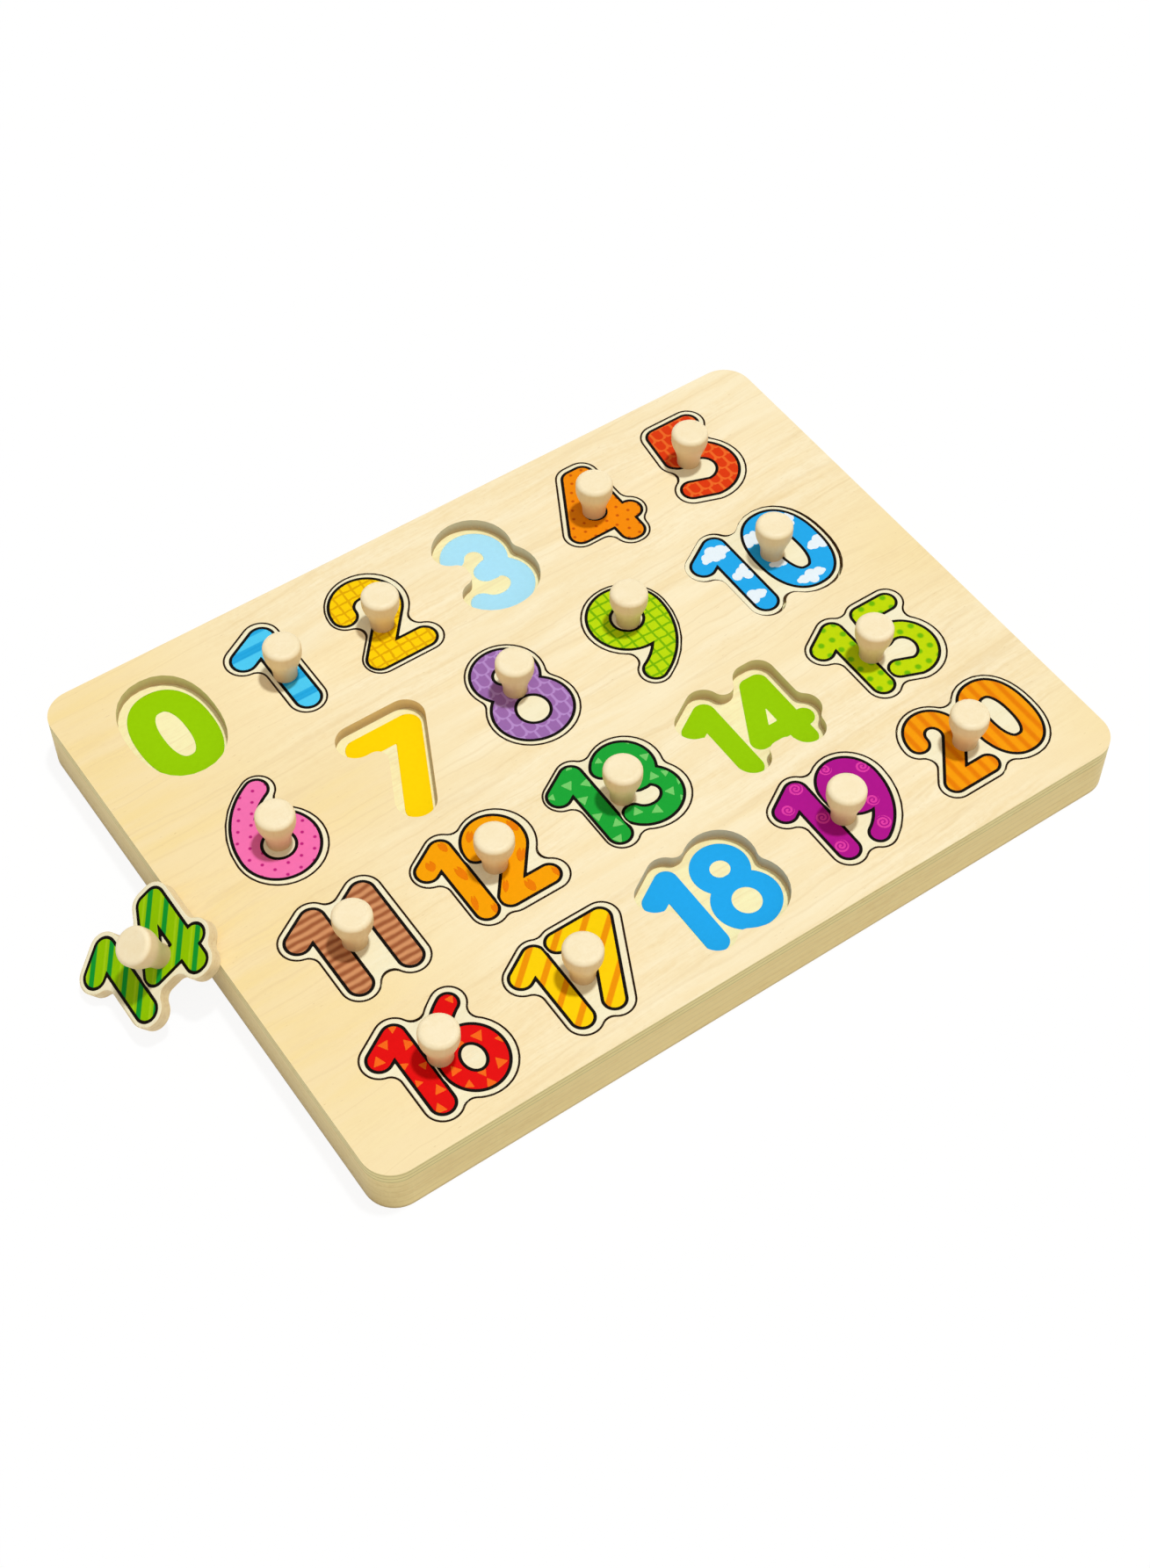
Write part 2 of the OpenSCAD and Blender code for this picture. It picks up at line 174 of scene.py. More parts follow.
# Middles of the round bowls that the tiles' wood fills, in shares of the height
BOWL_MIDDLES = {6: (0.338, 0.338), 8: EIGHT_HOLE, 9: (0.338, 0.662)}
SIX_BOWL_RADIUS = 0.232

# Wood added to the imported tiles, which have a hole in the bowls of 6 and 9 and are cut too
# narrow at 10: a plug that overlaps the hole, and a slab that surrounds the tile. Both run
# from just below the tile to just under its top.
PLUGGED_NUMBERS = (6, 9)
PLUG_OVERLAP = 0.0004
NARROW_NUMBER = 10
ADDED_WOOD = (-0.00002, TILE_THICKNESS - 0.0001)

# Painted shade round the four's peg foot, a black ring: middle and radius as shares of the
# height
FOOT_SHADED_NUMBER = 4
FOUR_FOOT_SHADE = (0.365, 0.467)
FOUR_FOOT_SHADE_RADIUS = 0.108


def digits_of(number):
    """The digits of a number, each with its left edge and its width as shares of the height."""
    if number < 10:
        return [(number, 0.0, WIDTH_SHARES[number])]
    first, second = divmod(number, 10)
    left = PAIR_WIDTH_SHARES[first] + WIDER_GAP_SHARES.get(number, GAP_SHARE)
    return [(first, 0.0, PAIR_WIDTH_SHARES[first]), (second, left, PAIR_WIDTH_SHARES[second])]


def number_box(number):
    """Left edge, bottom edge, width and height of a printed number on the board."""
    x_share, y_share, height_share = PLACE_SHARES[number]
    row = np.searchsorted(FIRST_OF_LATER_ROWS, number, side="right")
    height = ROW_HEIGHTS[row] * height_share
    width = height * sum(digits_of(number)[-1][1:])
    left = BOARD_LENGTH * x_share - width / 2
    return left, BOARD_WIDTH * y_share - height / 2, width, height


def distance_to_line(points, line):
    """Distance from each point to the nearest stretch of a line of points."""
    start, along = line[:-1], np.diff(line, axis=0)
    length = np.maximum((along**2).sum(1), 1e-18)
    away = points[:, None] - start
    share = np.clip((away * along).sum(2) / length, 0, 1)
    return np.sqrt(((away - share[..., None] * along) ** 2).sum(2).min(1))


def depth_in_digits(number, points):
    """How far inside each digit of the printed number each point lies: the half width of the
    strokes less the distance to their middle line, the greatest over all strokes."""
    left, bottom, _, height = number_box(number)
    depths = []
    for digit, shift, width in digits_of(number):
        depth = np.full(len(points), -1.0)
        half = HALF_SHARES[digit]
        squeeze = (width - 2 * half) / (WIDTH_SHARES[digit] - 2 * half)
        for line in DIGIT_LINES[digit]:
            line = np.array(line, float) * (squeeze, 1) + (half * (1 - squeeze) + shift, 0)
            line = line * height + (left, bottom)
            depth = np.maximum(depth, half * height - distance_to_line(points, line))
        if digit == 8:
            middle = (EIGHT_HOLE[0] * squeeze + shift, EIGHT_HOLE[1])
            away = (points - (left, bottom)) / height - middle
            depth = np.maximum(depth, (EIGHT_FILL - np.hypot(*away.T)) * height)
            beyond = np.hypot(*(away / EIGHT_HOLE_RADII).T) - 1
            depth = np.minimum(depth, beyond * EIGHT_HOLE_RADII[0] * height)
        depths.append(depth)
    return np.array(depths)


def grid_points(xs, ys):
    """A grid's points, one to a row."""
    return np.c_[xs.ravel(), ys.ravel()]


def depth_in_print(number, xs, ys):
    """How far inside each digit, where its print lies, each point of a grid lies."""
    return depth_in_digits(number, grid_points(xs, ys) - PRINT_SHIFTS.get(number, (0, 0)))


def cut_of(number):
    """Shift of a tile's cut off its print, and the border that the cut leaves."""
    shift_x, shift_y, border_share = CUT_SHARES.get(number, (0, 0, 1))
    return TILE_MARGIN * np.array((shift_x, shift_y)), TILE_MARGIN * border_share


def depth_in_bowl(number, points, radius):
    """How far inside a disc about the middle of a digit's round bowl each point lies."""
    left, bottom, _, height = number_box(number)
    middle = np.array(BOWL_MIDDLES[number]) * height + (left, bottom)
    return radius - np.hypot(*(points - middle).T)


def depth_in_tile(number, xs, ys):
    """How far inside the tile's outline each point of a grid lies. That outline is the
    number's, widened by the border and the inner round and drawn back by the round. So the
    depth is the distance to the places where the grid crosses the wide outline, less the
    round."""
    shift, border = cut_of(number)
    points = grid_points(xs, ys)
    wide = depth_in_digits(number, points - shift).max(0)
    if number in BOWL_MIDDLES:
        fill = EIGHT_FILL * number_box(number)[3]
        wide = np.maximum(wide, depth_in_bowl(number, points - shift, fill))
    wide = wide.reshape(xs.shape) + border + INNER_ROUND
    rim = []
    for near, far in ((np.s_[:, :-1], np.s_[:, 1:]), (np.s_[:-1], np.s_[1:])):
        crossed = (wide[near] > 0) != (wide[far] > 0)
        start, end = wide[near][crossed], wide[far][crossed]
        share = start / (start - end)
        rim.append(np.c_[
            xs[near][crossed] * (1 - share) + xs[far][crossed] * share,
            ys[near][crossed] * (1 - share) + ys[far][crossed] * share,
        ])
    rim = np.concatenate(rim)
    away = np.sqrt(((points[:, None] - rim) ** 2).sum(2).min(1))
    return np.where(wide.ravel() > 0, away, -away) - INNER_ROUND


# Motifs that lie at places of their own, in millimetres on the board

CLOUDS = (
    (85, 37.3, 2.6), (82, 35.7, 2.2), (88.3, 36.3, 2.5), (84.8, 34.4, 2), (80.4, 34.6, 1.2),
    (90.5, 35.6, 1.5), (87, 33.9, 1.6), (85.8, 22.6, 1.9), (88.6, 23.4, 2.4),
    (90.6, 25, 1.8), (89.6, 21.2, 2), (85.3, 12.4, 2.4), (84.3, 10.6, 2.1),
    (87.6, 11.6, 2.2), (89.3, 11.6, 1.2), (100.2, 34.6, 2.6), (98.5, 33, 2),
    (102, 33.5, 2.6), (103, 36.2, 1.2), (108.5, 8.4, 2.5), (105, 7.9, 2), (111.7, 8.1, 2),
    (108, 6.3, 2), (103.3, 8.1, 1.2), (113.3, 7.7, 1), (118, 19.3, 2.2), (121, 20.4, 2.4),
    (121.3, 18.4, 2.4), (116.4, 19, 1.3), (101.5, 19.6, 2), (103.5, 19, 1.8),
    (99.6, 19.9, 1.2), (118.5, 35, 2), (119.5, 36.5, 1.5), (117.5, 32.5, 1.5),
)
BRUSH_DABS = (
    (-66.3, -17.3, 1.3, 2.5, 5), (-73.8, -21.6, 1.7, 2.4, -8), (-67, -29.6, 1.5, 3.6, 5),
    (-69.7, -42, 1.1, 3.4, -18), (-65.3, -47.7, 1.2, 2.6, 0), (-56.6, -18.8, 1.3, 2.6, -38),
    (-42.1, -22.8, 1.7, 3.1, 2), (-46.4, -34.5, 1.6, 3, -38), (-57.6, -42, 1.1, 2.8, -32),
    (-50.8, -46.3, 1.6, 3, 2), (-40.4, -46.7, 1.4, 2.7, 5), (-47, -15.2, 0.7, 1.6, 60),
)
LIGHT_TRIANGLES = (
    (-17.8, -20.1, 2.5, -95), (-25.1, -21.2, 1.7, -80), (-12, -22.7, 2.3, -75),
    (-16.9, -28, 2.3, 10), (-16.8, -36.3, 2.2, 5), (-12.9, -42.3, 2.3, 70),
    (-16.3, -47.7, 2.2, 150), (-13.4, -14.1, 1.5, 80), (-3.3, -17.5, 1.7, 60),
    (9.4, -15.9, 1.5, -85), (10.9, -24.7, 2.1, 130), (8.4, -33.2, 2.2, 80),
    (12.6, -34.2, 1.8, 0), (9.6, -41.6, 2.2, 150), (14.6, -39.8, 1.7, 100),
    (1.3, -45.4, 2.4, 60), (-4.7, -42.2, 2.2, 80), (11.4, -46, 1.5, 90),
)
ORANGE_TRIANGLES = (
    (-122.6, -70.9, 2.2, -90), (-127.3, -75.1, 2.4, 80), (-117.3, -67.2, 1.9, 120),
    (-116.2, -74.8, 2.4, 100), (-121.4, -80.8, 1.7, 0), (-116.3, -84, 1.8, -100),
    (-121.1, -88.5, 1.7, 100), (-116.9, -94.1, 2.3, 85), (-120.4, -99.9, 2.4, 80),
    (-96.4, -68.4, 1.9, -90), (-96.5, -84.6, 2.5, -90), (-102.4, -84.3, 1.8, 80),
    (-109.3, -91.2, 2.3, 95), (-91.1, -89.4, 2, 150), (-108.3, -97.9, 1.9, 60),
    (-102.4, -96.6, 1.9, -90), (-95.9, -96.7, 2.5, 100), (-102.5, -101.1, 2.2, 90),
)
SWIRLS = (
    (37.3, -70.5, 2.3), (44.7, -64.9, 2.6), (58, -64.1, 2.3), (69.3, -70.1, 2.6),
    (63.4, -83.2, 2.3), (42.9, -92.1, 2.6), (60.6, -92.4, 2.7), (44.9, -79.4, 2.6),
)
SWIRL_PITCH = 1.3 * MM
SWIRL_HALF_ARM = 0.3
DAB_POWER = 1.6


def steps_from(points, spots):
    """Steps along X and Y from each spot's middle to each point, and the spots' other values
    as one array each."""
    spots = np.array(spots, float)
    away = points[:, None] - spots[:, :2] * MM
    return away[..., 0], away[..., 1], *spots[:, 2:].T


def in_discs(points, discs):
    """How far inside the nearest of the discs: the radius less the distance to its middle."""
    x, y, radius = steps_from(points, discs)
    return (radius * MM - np.hypot(x, y)).max(1)


def in_dabs(points, dabs):
    """How far inside the nearest dab: an oval turned by its angle, pointed a little by
    raising its coordinates to the power 1.6, with a notch cut into its upper end."""
    x, y, half_width, half_length, turn = steps_from(points, dabs)
    turn = np.radians(turn)
    across = (x * np.cos(turn) + y * np.sin(turn)) / (half_width * MM)
    along = (y * np.cos(turn) - x * np.sin(turn)) / (half_length * MM)
    inside = 1 - (np.abs(across) ** DAB_POWER + np.abs(along) ** DAB_POWER) ** (1 / DAB_POWER)
    notch = np.abs(across) * 2.4 - (along - 0.35) * 1.5
    return (np.minimum(inside, notch) * half_width * MM).max(1)


def in_triangles(points, triangles):
    """How far inside the nearest triangle: half its corner radius less the largest of the
    three distances along the directions square to its sides."""
    x, y, corner, turn = steps_from(points, triangles)
    sides = np.radians(turn[:, None] + (60, 180, 300))
    out = x[..., None] * np.cos(sides) + y[..., None] * np.sin(sides)
    return (corner * MM / 2 - out.max(2)).max(1)


def in_swirls(points, swirls):
    """How far inside the coloured arm of the nearest swirl: the arm's half width less the
    distance to a spiral that gains one pitch in each turn, cut off at the swirl's radius."""
    x, y, reach = steps_from(points, swirls)
    radius = np.hypot(x, y)
    turns = radius / SWIRL_PITCH - np.arctan2(y, x) / (2 * np.pi)
    from_arm = np.abs(turns - np.round(turns)) * SWIRL_PITCH
    return np.minimum(SWIRL_PITCH * SWIRL_HALF_ARM - from_arm, reach * MM - radius).max(1)


MOTIFS = {
    10: ("clouds", in_discs, CLOUDS, (233, 245, 252)),
    12: ("dabs", in_dabs, BRUSH_DABS, (236, 126, 0)),
    13: ("triangles", in_triangles, LIGHT_TRIANGLES, (118, 206, 108)),
    16: ("triangles", in_triangles, ORANGE_TRIANGLES, (247, 106, 25)),
    19: ("swirls", in_swirls, SWIRLS, (226, 62, 168)),
}


# Slabs cut from a depth

def grid_over(number, step, margin=PRINT_MARGIN):
    """A grid of points over a number's box and a margin round it."""
    left, bottom, width, height = number_box(number)
    xs = np.arange(left - margin, left + width + margin + step, step)
    ys = np.arange(bottom - margin, bottom + height + margin + step, step)
    return np.meshgrid(xs, ys)


def cut_out(xs, ys, depth):
    """Flat triangles where the depth is over zero: each grid square is halved, and a
    triangle that the edge crosses is cut where the depth, taken as linear, is zero."""
    rows, columns = xs.shape
    index = np.arange(rows * columns).reshape(rows, columns)
    a, b, c, d = (index[:-1, :-1], index[:-1, 1:], index[1:, 1:], index[1:, :-1])
    corners = np.stack([a, b, c, a, c, d], -1).reshape(-1, 3)
    depth = depth.ravel()
    inside = depth > 0
    count = inside[corners].sum(1)
    places = grid_points(xs, ys)

    def turned(triangles, first):
        """The triangles with the named corner first."""
        turn = (first[:, None] + np.arange(3)) % 3
        return np.take_along_axis(triangles, turn, 1)

    one = corners[count == 1]
    one = turned(one, inside[one].argmax(1))
    two = corners[count == 2]
    two = turned(two, inside[two].argmin(1))
    edges = np.sort(np.r_[one[:, [0, 1]], one[:, [0, 2]], two[:, [0, 1]], two[:, [0, 2]]], 1)
    edges, where = np.unique(edges, axis=0, return_inverse=True)
    where = where.ravel() + len(places)
    low, high = depth[edges[:, 0]], depth[edges[:, 1]]
    share = np.clip(low / (low - high), *CUT_LIMITS)[:, None]
    cuts = places[edges[:, 0]] * (1 - share) + places[edges[:, 1]] * share
    places = np.r_[places, cuts]
    n, m = len(one), len(two)
    one_a, one_b = where[:n], where[n : 2 * n]
    two_a, two_b = where[2 * n : 2 * n + m], where[2 * n + m :]
    triangles = np.r_[
        corners[count == 3],
        np.c_[one[:, 0], one_a, one_b],
        np.c_[two_a, two[:, 1], two[:, 2]],
        np.c_[two_a, two[:, 2], two_b],
    ]
    used, triangles = np.unique(triangles, return_inverse=True)
    return places[used], triangles.reshape(-1, 3)


def new_object(name, data):
    """An object at the origin, in the scene."""
    thing = bpy.data.objects.new(name, data)
    bpy.context.scene.collection.objects.link(thing)
    return thing


def slab(name, places, triangles, low, high, placed):
    """A closed slab: the flat triangles at the upper height, the same turned over at the
    lower one, and a wall of two triangles below each edge that only one triangle has."""
    count = len(places)
    edges = np.r_[triangles[:, [0, 1]], triangles[:, [1, 2]], triangles[:, [2, 0]]]
    key = edges[:, 0].astype(np.int64) * count + edges[:, 1]
    back = edges[:, 1].astype(np.int64) * count + edges[:, 0]
    rim = edges[~np.isin(key, back)]
    top = triangles
    bottom = triangles[:, ::-1] + count
    walls = np.r_[
        np.c_[rim[:, 0] + count, rim[:, 1] + count, rim[:, 1]],
        np.c_[rim[:, 0] + count, rim[:, 1], rim[:, 0]],
    ]
    faces = np.r_[top, bottom, walls].astype(np.int32)
    points = np.r_[np.c_[places, np.full(count, high)], np.c_[places, np.full(count, low)]]
    mesh = bpy.data.meshes.new(name)
    mesh.vertices.add(len(points))
    mesh.vertices.foreach_set("co", placed(points).ravel())
    mesh.loops.add(faces.size)
    mesh.loops.foreach_set("vertex_index", faces.ravel())
    mesh.polygons.add(len(faces))
    mesh.polygons.foreach_set("loop_start", np.arange(0, faces.size, 3, dtype=np.int32))
    mesh.update(calc_edges=True)
    mesh.validate()
    return new_object(name, mesh)


# Places of the tiles

loose_left, _, loose_width, _ = number_box(LOOSE_NUMBER)
loose_left -= TILE_MARGIN
loose_width += 2 * TILE_MARGIN
loose_middle = BOARD_WIDTH * PLACE_SHARES[LOOSE_NUMBER][1]
LEAN_ANGLE = math.asin(BOARD_THICKNESS / (LEAN_SHARE * loose_width))
lean_step = BOARD_THICKNESS + LEAN_GAP / math.cos(LEAN_ANGLE) - LEAN_GAP
LEAN_CORNER = np.array((
    -BOARD_LENGTH / 2 - lean_step / math.tan(LEAN_ANGLE), LEAN_ALONG, LEAN_GAP
))
LEAN_SHIFT = np.array((-loose_left, -loose_middle, 0))
LEAN_COS, LEAN_SIN = math.cos(LEAN_ANGLE), math.sin(LEAN_ANGLE)
LEAN_UP = (-LEAN_SIN, 0, LEAN_COS)


def raised(level):
    """What lifts points, whose heights start from zero, to a level."""
    return lambda points: points + (0, 0, level)


def leaning(points):
    """Points of the loose tile: moved to its left edge, tilted about it, set on the table."""
    x, y, z = (points + LEAN_SHIFT).T
    tilted = np.c_[x * LEAN_COS - z * LEAN_SIN, y, x * LEAN_SIN + z * LEAN_COS]
    return tilted + LEAN_CORNER


def placing(number):
    """Where a tile's points go, whose heights start from its underside."""
    return leaning if number == LOOSE_NUMBER else raised(SEAT_LEVEL)


# Values that run through a node tree

def connect(value, socket):
    """Puts a value, a socket or a plain constant into a socket."""
    if isinstance(value, Value):
        value = value.socket
    if isinstance(value, bpy.types.NodeSocket):
        socket.id_data.links.new(value, socket)
    else:
        socket.default_value = value


def new_node(near, kind, **given):
    """A node in the tree that a node or a socket lies in, with values for its inputs."""
    node = near.id_data.nodes.new(f"ShaderNode{kind}")
    for label, value in given.items():
        connect(value, node.inputs[label.replace("_", " ")])
    return node


def math_step(operation):
    """A method of Value that adds one Math node."""
    return lambda self, *others: self.step(operation, *others)


class Value:
    """A number in a node tree. Sums, products and the steps below them add Math nodes: size
    leaves off the sign, fraction and whole are the parts after and before the point."""

    def __init__(self, socket):
        """Takes the socket that the number comes out of."""
        self.socket = socket

    def step(self, operation, *others):
        """The value after one Math node."""
        node = new_node(self.socket, "Math")
        node.operation = operation
        for socket, value in zip(node.inputs, (self, *others)):
            connect(value, socket)
        return Value(node.outputs[0])

    __add__ = math_step("ADD")
    __sub__ = math_step("SUBTRACT")
    __mul__ = math_step("MULTIPLY")
    __truediv__ = math_step("DIVIDE")
    size = math_step("ABSOLUTE")
    fraction = math_step("FRACT")
    whole = math_step("FLOOR")
    least = math_step("MINIMUM")
    most = math_step("MAXIMUM")
    root = math_step("SQRT")
    over = math_step("GREATER_THAN")
    sine = math_step("SINE")
    cosine = math_step("COSINE")

    def ramp(self, start, end):
        """From 0 at the start to 1 at the end, eased at both."""
        node = new_node(self.socket, "MapRange", Value=self, From_Min=start, From_Max=end)
        node.interpolation_type = "SMOOTHSTEP"
        return Value(node.outputs[0])


def srgb(red, green, blue):
    """A colour written with 0 to 255 for each part, as the linear colour a node takes."""
    parts = np.array((red, green, blue)) / 255
    linear = np.where(parts <= 0.04045, parts / 12.92, ((parts + 0.055) / 1.055) ** 2.4)
    return (*linear, 1.0)


# The Mix node's colour sockets, whose names its other sockets have too
MIX_FIRST, MIX_SECOND, MIX_RESULT = 6, 7, 2


def mix(share, first, second):
    """A colour between two colours."""
    node = new_node(share.socket, "Mix", Factor=share)
    node.data_type = "RGBA"
    connect(first, node.inputs[MIX_FIRST])
    connect(second, node.inputs[MIX_SECOND])
    return node.outputs[MIX_RESULT]


def apart(vector):
    """The three coordinates of a vector, as values."""
    node = new_node(vector, "SeparateXYZ", Vector=vector)
    return [Value(socket) for socket in node.outputs]


def together(x, y, z):
    """A vector from three coordinates."""
    return new_node(x.socket, "CombineXYZ", X=x, Y=y, Z=z).outputs[0]


def noise(vector, scale=1.0, detail=3.0, roughness=0.5):
    """Soft noise between 0 and 1."""
    node = new_node(
        vector, "TexNoise", Vector=vector, Scale=scale, Detail=detail, Roughness=roughness
    )
    return Value(node.outputs[0])


def effect(name, build, inputs, outputs="Mask"):
    """A node group with a position, named numbers, and named outputs that the build function
    returns in their order."""
    group = bpy.data.node_groups.new(name, "ShaderNodeTree")
    sockets = [("Position", "INPUT", "NodeSocketVector")]
    sockets += [(label, "INPUT", "NodeSocketFloat") for label in inputs.split()]
    sockets += [(label, "OUTPUT", "NodeSocketFloat") for label in outputs.split()]
    for label, side, kind in sockets:
        group.interface.new_socket(label.replace("_", " "), in_out=side, socket_type=kind)
    position, *numbers = group.nodes.new("NodeGroupInput").outputs[: 1 + len(inputs.split())]
    leave = group.nodes.new("NodeGroupOutput")
    for value, socket in zip(build(position, *map(Value, numbers)), leave.inputs):
        connect(value, socket)
    return group


def use(shader, group, position, **values):
    """Places an effect by a shader; returns its outputs as values by their names."""
    node = new_node(shader, "Group")
    node.node_tree = group
    for label, value in {"Position": position, **values}.items():
        connect(value, node.inputs[label.replace("_", " ")])
    return {socket.name: Value(socket) for socket in node.outputs}


def masked(shader, group, position, **values):
    """The mask of an effect that is placed by a shader."""
    return use(shader, group, position, **values)["Mask"]


# Effects

# How far the grain leans off X, and how far it sways and waves in millimetres
GRAIN_LEAN, GRAIN_SWAY, GRAIN_WAVE = 0.045, 9, 2.4
# The grain's noises: scale along X, across the grain and along Z, detail and roughness
GRAIN_NOISES = {
    "sway": (0.012, 0.03, 0.03, 2, 0.5), "wave": (0.06, 0.1, 0.1, 2, 0.5),
    "bands": (0.02, 0.17, 0.2, 3, 0.55), "streaks": (0.08, 0.95, 0.95, 3, 0.62),
    "patch": (0.012, 0.045, 0.3, 2, 0.5), "growth": (0.0018, 0.06, 0.3, 1, 0.5),
    "pores": (0.35, 4.5, 4.5, 1, 0.5), "flecks": (0.4, 3.2, 3.2, 1, 0.5),
}
GROWTH_LINES = 5


def build_grain(position):
    """Wood grain near to X: broad soft bands, fine streaks that fade in and out, a few long
    growth lines where a slow noise passes one value, and a few short dark flecks."""
    x, y, z = apart(position)

    def drawn_out(name, across):
        """One of the grain's noises."""
        scale_x, scale_y, scale_z, detail, roughness = GRAIN_NOISES[name]
        place = together(x * scale_x, across * scale_y, z * scale_z)
        return noise(place, 1, detail, roughness)

    sway = drawn_out("sway", y) * GRAIN_SWAY
    across = y - x * GRAIN_LEAN + sway + drawn_out("wave", y) * GRAIN_WAVE
    bands = drawn_out("bands", across)
    streaks = drawn_out("streaks", across) * 0.65 + noise(position, 0.42, 3, 0.65) * 0.35
    patch = drawn_out("patch", across)
    line = (drawn_out("growth", across) * GROWTH_LINES).fraction() - 0.5
    pores = drawn_out("pores", across)
    flecks = drawn_out("flecks", y)
    height = streaks * 0.7 + pores * 0.3
    return (
        bands.ramp(0.3, 0.7), streaks.ramp(0.38, 0.68) * (patch.ramp(0.38, 0.62) + 0.4),
        line.size().ramp(0.06, 0), flecks.ramp(0.75, 0.81), height,
    )


GRAIN = effect("wood grain", build_grain, "", "Bands Streaks Lines Flecks Height")


def build_plies(position, spacing, start):
    """Thin darker glue lines that repeat up a cut edge."""
    phase = ((apart(position)[2] - start) / spacing).fraction()
    return ((phase - 0.5).size().ramp(0.3, 0.48),)


PLIES = effect("ply lines", build_plies, "Spacing Start")


def build_stripes(position, angle, spacing, start, share, softness, waver):
    """Parallel stripes at an angle: the distance across them, bent by a little noise, is
    folded at each spacing and compared with the stripes' share of it."""
    x, y, _ = apart(position)
    bend = (noise(position, 0.16, 1) - 0.5) * waver
    across = y * angle.cosine() - x * angle.sine() + bend
    phase = ((across - start) / spacing + 0.5).fraction()
    from_middle = (phase - 0.5).size()
    half = share * 0.5
    return (from_middle.ramp(half + softness, half - softness),)


STRIPES = effect("stripes", build_stripes, "Angle Spacing Start Share Softness Waver")


def build_dots(position, spacing, row_height, start_x, start_y, shift, radius, soft):
    """Rows of dots, every second row shifted sideways: the distance to the middle of the
    dot's own cell is compared with the radius."""
    x, y, _ = apart(position)
    row = (y - start_y) / row_height + 0.5
    odd = (row.whole() * 0.5).fraction() * 2
    column = (x - start_x - odd * shift) / spacing + 0.5
    across = (column.fraction() - 0.5) * spacing
    along = (row.fraction() - 0.5) * row_height
    away = (across * across + along * along).root()
    return (away.ramp(radius + soft, radius - soft),)


DOTS = effect(
    "rows of dots", build_dots, "Spacing Row_Height Start_X Start_Y Shift Radius Soft"
)


# Share of a scale's height that its half oval takes up
OVAL_SHARE = 0.45


def build_scales(position, width, height, start_x, start_y, line):
    """Lines of overlapping scales: in each row a scale is a half oval below straight
    sides, and every second row is shifted by half a scale."""
    x, y, _ = apart(position)
    row = (y - start_y) / height
    odd = (row.whole() * 0.5).fraction()
    across = ((x - start_x) / width + odd).fraction() * 2 - 1
    along = row.fraction() / OVAL_SHARE
    dip = (along * -1 + 1).most(0)
    radius = (across * across + dip * dip).root()
    away = (radius - 1).size() * width * 0.5
    return (away.ramp(line, line * 0.4),)


SCALES = effect("scale lines", build_scales, "Width Height Start_X Start_Y Line")


def build_check(position, spacing, start_x, start_y, line, waver):
    """A hand-drawn check: level and upright lines at one spacing, bent by noise."""
    x, y, _ = apart(position)
    bend = (noise(position, 0.35, 2) - 0.5) * waver
    upright = (((x + bend - start_x) / spacing + 0.5).fraction() - 0.5).size() * spacing
    level = (((y + bend - start_y) / spacing + 0.5).fraction() - 0.5).size() * spacing
    soft = line * 0.5
    return (upright.ramp(line, soft).most(level.ramp(line, soft)),)


CHECK = effect("drawn check", build_check, "Spacing Start_X Start_Y Line Waver")


def build_ink(position):
    """Printing ink on wood: a faint mottle, and the grain that shows through as height."""
    x, y, z = apart(position)
    mottle = noise(position, 0.6, 3)
    speckle = noise(position, 4.0, 2)
    ridges = noise(together(x * 0.08, y * 2.2, z), 1, 3)
    return mottle.ramp(0.3, 0.7) * 0.6 + speckle * 0.4, ridges * 0.8 + speckle * 0.2


INK = effect("printing ink", build_ink, "", "Mottle Height")


# Finishes

def new_finish(name, specular, number=None):
    """A material with its shader and the position in millimetres."""
    material = bpy.data.materials.new(name)
    material.use_nodes = True
    shader = material.node_tree.nodes["Principled BSDF"]
    shader.inputs["Specular IOR Level"].default_value = specular
    return material, shader, position_on(shader, number)


def position_on(shader, number):
    """Position in millimetres on the board; that of the leaning tile is laid flat."""
    place = new_node(shader, "TexCoord").outputs["Object"]
    mapping = new_node(shader, "Mapping", Vector=place, Scale=(1 / MM,) * 3)
    if number == LOOSE_NUMBER:
        x, y, z = LEAN_CORNER
        flat = np.array((x * LEAN_COS + z * LEAN_SIN, y, z * LEAN_COS - x * LEAN_SIN))
        mapping.inputs["Rotation"].default_value = (0, LEAN_ANGLE, 0)
        mapping.inputs["Location"].default_value = -(flat + LEAN_SHIFT) / MM
    return mapping.outputs[0]


def facing(shader, direction):
    """How far a surface faces a fixed direction: the dot product with its normal."""
    normal = new_node(shader, "TexCoord").outputs["Normal"]
    product = new_node(shader, "VectorMath")
    product.operation = "DOT_PRODUCT"
    connect(normal, product.inputs[0])
    product.inputs[1].default_value = direction
    return Value(product.outputs["Value"])


def skin(shader, colour, roughness, height, relief):
    """Connects the colour and the roughness, and the height as relief of so many metres."""
    connect(colour, shader.inputs["Base Color"])
    connect(roughness, shader.inputs["Roughness"])
    bump = new_node(shader, "Bump", Distance=relief, Strength=1.0, Height=height)
    connect(bump.outputs[0], shader.inputs["Normal"])


